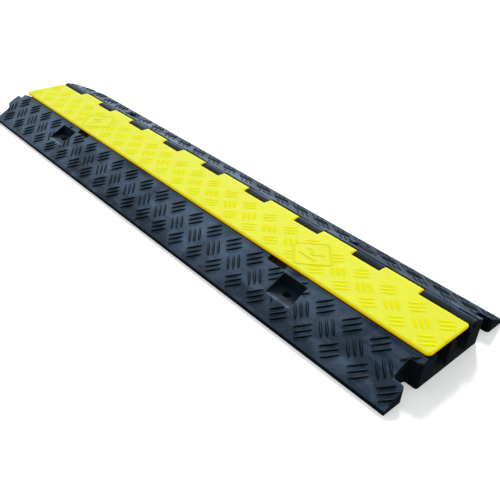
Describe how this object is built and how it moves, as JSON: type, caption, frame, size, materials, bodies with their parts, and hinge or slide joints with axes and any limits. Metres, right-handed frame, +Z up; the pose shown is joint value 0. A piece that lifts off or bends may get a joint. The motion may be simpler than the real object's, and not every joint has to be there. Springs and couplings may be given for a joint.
{
  "type": "cable protector ramp",
  "caption": "Low rubber ramp with parallel cable channels under a hinged yellow lid, sloped on both sides, with interlocking ends and recessed floor anchor holes.",
  "frame": {"origin": "on the floor face, at the centre of the rectangle of four anchor holes", "axes": "+X along the cables towards the end with the notches, +Y towards the hinge side, +Z up from the floor"},
  "size_m": [1.0165, 0.25, 0.0475],
  "materials": {
    "rubber": "matte with a faint blue-grey sheen, moulded tread bars",
    "lid_plastic": "satin bright yellow, moulded tread bars",
    "steel": "drawn bright steel"
  },
  "bodies": {
    "base": {"ramp_base": "rubber", "hinge_rod": "steel"},
    "lid": {"lid": "lid_plastic"}
  },
  "joints": [
    {"name": "lid_hinge", "type": "hinge", "parent": "base", "child": "lid", "pos_m": [0, 0.04, 0.0385], "axis": [-1, 0, 0], "range_deg": [0, 107]}
  ]
}
